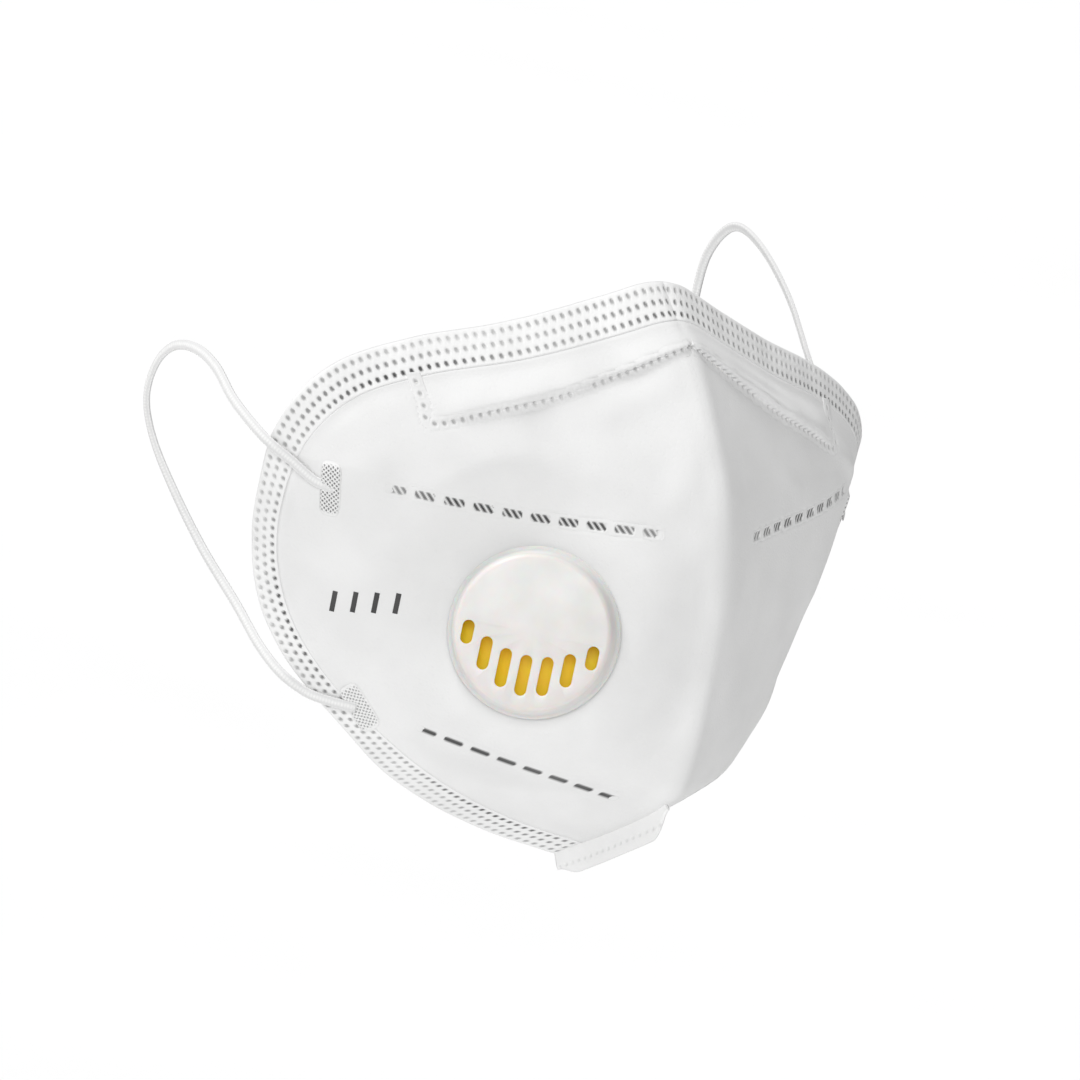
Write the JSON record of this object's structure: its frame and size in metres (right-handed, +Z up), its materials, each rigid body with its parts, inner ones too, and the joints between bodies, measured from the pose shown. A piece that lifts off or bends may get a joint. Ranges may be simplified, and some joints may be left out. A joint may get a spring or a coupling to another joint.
{
  "type": "disposable dust mask",
  "caption": "Fold-flat filtering half mask of white nonwoven cloth with a hidden nose clip, a round exhalation valve with a yellow flap, and elastic ear loops.",
  "frame": {"origin": "middle of the opening that the wearer's face closes, on the middle plane of the mask", "axes": "+X the viewer's right when looking at the front, +Y back towards the wearer's face, +Z up"},
  "size_m": [0.1714, 0.1124, 0.1316],
  "materials": {
    "cover_cloth": "fine white spunbond nonwoven, matt",
    "cotton": "soft white hot-air cotton felt",
    "filter_cloth": "smooth white meltblown filter cloth",
    "lining_cloth": "skin-side white spunbond nonwoven",
    "welded_cloth": "pressed and welded nonwoven, slightly glazed",
    "clip_metal": "soft bare aluminium strip",
    "foam": "pale grey open-cell foam strip",
    "valve_plastic": "white moulded polypropylene, satin",
    "flap_rubber": "yellow silicone sheet",
    "elastic": "white knitted elastic cord"
  },
  "bodies": {
    "mask": {"outer_cover": "cover_cloth", "cotton_layer": "cotton", "meltblown_filter": "filter_cloth", "inner_lining": "lining_cloth", "chin_seam": "welded_cloth", "nose_clip": "clip_metal", "nose_foam": "foam", "valve_seat": "valve_plastic", "valve_cover": "valve_plastic", "valve_lock_ring": "valve_plastic", "ear_loop_left": "elastic", "ear_loop_right": "elastic", "loop_weld_upper_left": "welded_cloth", "loop_weld_lower_left": "welded_cloth", "loop_weld_upper_right": "welded_cloth", "loop_weld_lower_right": "welded_cloth"},
    "flap": {"valve_flap": "flap_rubber"}
  },
  "joints": [
    {"name": "flap_open", "type": "hinge", "parent": "mask", "child": "flap", "pos_m": [-0.03458, -0.04416, -0.00167], "axis": [-0.6947, 0.7193, 0], "range_deg": [0, 11], "stiffness_Nm_per_rad": 0.0004, "springref_deg": -8.59}
  ]
}
